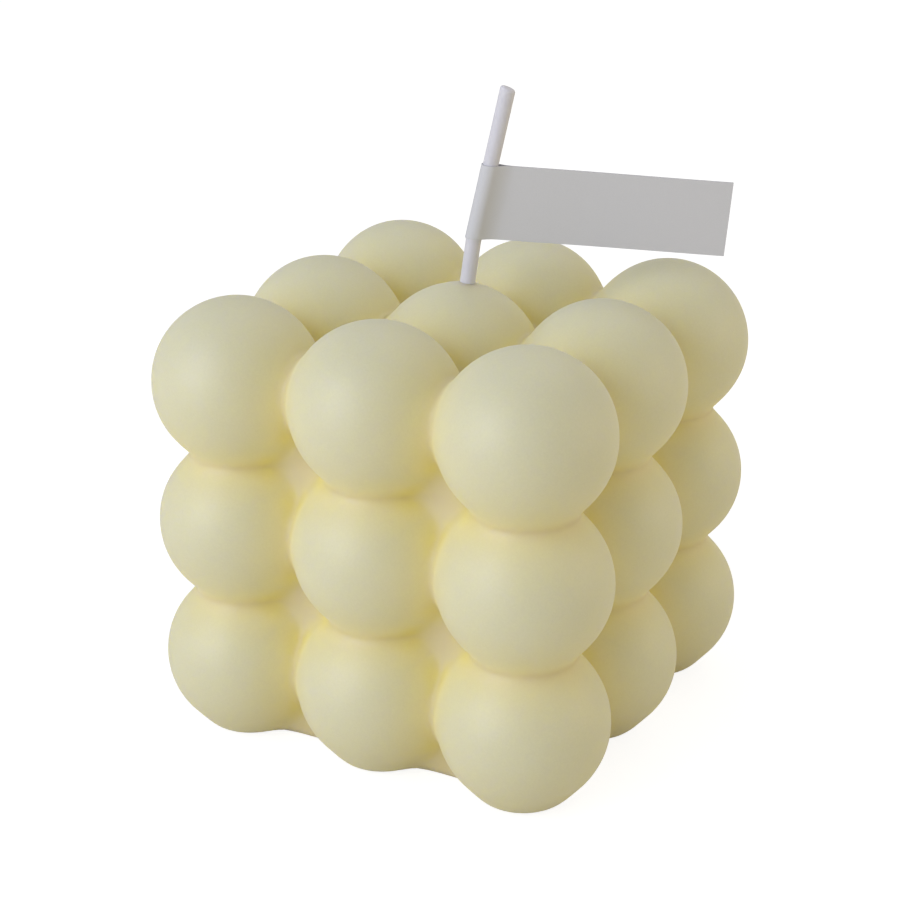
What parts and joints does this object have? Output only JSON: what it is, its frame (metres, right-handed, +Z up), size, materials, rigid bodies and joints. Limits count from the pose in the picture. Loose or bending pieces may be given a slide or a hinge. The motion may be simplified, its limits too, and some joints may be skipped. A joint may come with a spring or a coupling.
{
  "type": "decorative candle",
  "caption": "Cube-shaped pillar candle cast as a grid of fused wax balls, with a leaning wick that carries a small folded paper flag.",
  "frame": {"origin": "middle of the flat base, on the surface that the candle stands on", "axes": "+Z up from the base to the wick; X and Y across the sides of the cube, with the wick and its flag leaning between +X and +Y, nearer +X"},
  "size_m": [0.06, 0.06, 0.0801],
  "materials": {
    "wax": "satin cream wax, cloudy and slightly see-through at thin places",
    "wick": "white cotton braid stiffened with wax",
    "paper": "smooth uncoated white label paper"
  },
  "bodies": {
    "root": {"wax_body": "wax", "wick": "wick", "flag_label": "paper"}
  },
  "joints": []
}
